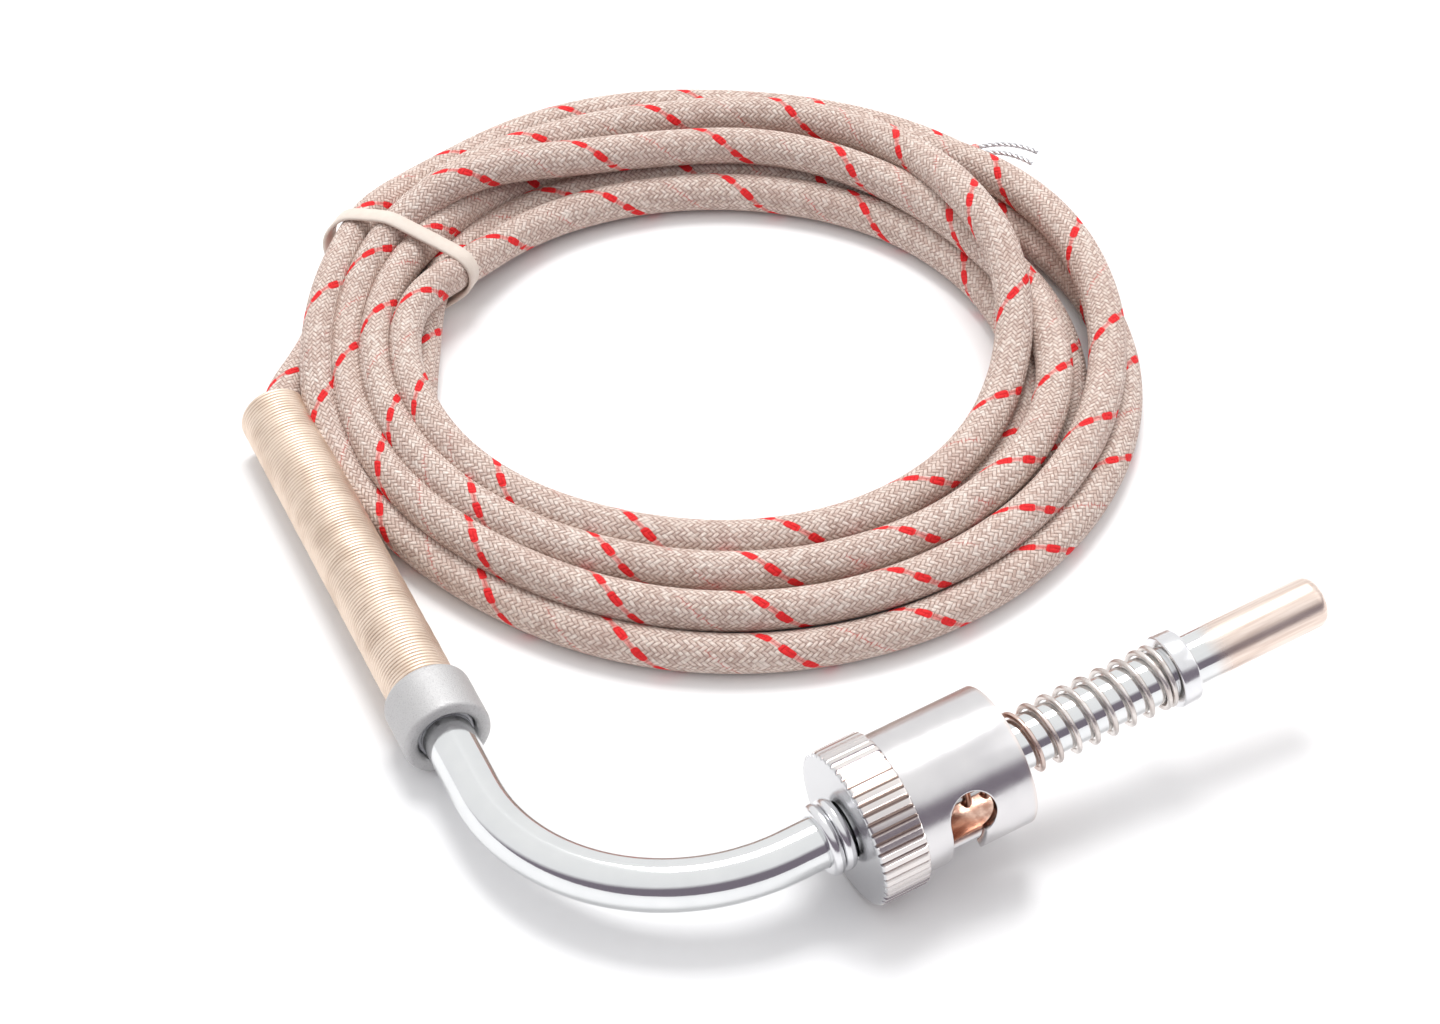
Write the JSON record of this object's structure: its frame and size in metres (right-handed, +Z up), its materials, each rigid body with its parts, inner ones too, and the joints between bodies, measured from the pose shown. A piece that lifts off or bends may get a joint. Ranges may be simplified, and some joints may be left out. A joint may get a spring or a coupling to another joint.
{
  "type": "bayonet thermocouple with cable",
  "caption": "Bent probe with a spring-loaded turning bayonet cap, a ferrule and spring armour, and a coiled braided cable with bare conductor ends.",
  "frame": {"origin": "on the surface the probe lies on, under the middle of the box around the probe, its cap, ferrule and armour (the cable, coil and tie are left out)", "axes": "+X is the heading of the probe's tip, seen from above; +Y runs along the armour, away from the elbow; +Z is up"},
  "size_m": [0.0995, 0.1138, 0.0159],
  "materials": {
    "polished_tube": "polished",
    "nickelled_brass": "bright nickel plate over brass",
    "blasted_alloy": "fine matte",
    "armour_steel": "satin, warm tint",
    "spring_steel": "drawn wire",
    "conductor_alloy": "drawn wire",
    "tinned_wire": "bright",
    "glass_sleeve": "woven glass fibre",
    "glass_braid": "braided glass fibre with red tracer",
    "tie_band": "matte",
    "cement": "porous ceramic"
  },
  "bodies": {
    "probe": {"probe_sheath": "polished_tube", "measuring_junction": "conductor_alloy", "tip_cement": "cement", "positive_wire": "conductor_alloy", "negative_wire": "conductor_alloy", "positive_sleeve": "glass_sleeve", "negative_sleeve": "glass_sleeve", "front_collar": "polished_tube", "rear_collar": "polished_tube", "ferrule": "blasted_alloy", "ferrule_bush": "blasted_alloy", "armour_spring": "armour_steel", "braid_crimp": "spring_steel", "cable_root": "glass_braid", "cable_run": "glass_braid", "cable_coil": "glass_braid", "coil_tie": "tie_band", "positive_tail_sleeve": "glass_sleeve", "negative_tail_sleeve": "glass_sleeve", "positive_lead": "tinned_wire", "negative_lead": "tinned_wire"},
    "spring_seat": {"compression_spring": "spring_steel"},
    "cap": {"bayonet_cap": "nickelled_brass"}
  },
  "joints": [
    {"name": "cap_slide", "type": "slide", "parent": "probe", "child": "spring_seat", "axis": [0.9954, 0, 0.0958], "range_m": [0, 0.018], "stiffness_N_per_m": 265, "springref_m": -0.006, "deforming": ["compression_spring"]},
    {"name": "cap_turn", "type": "hinge", "parent": "spring_seat", "child": "cap", "pos_m": [-0.0035, -0.03602, 0.00826], "axis": [0.9954, 0, 0.0958], "continuous": true}
  ]
}
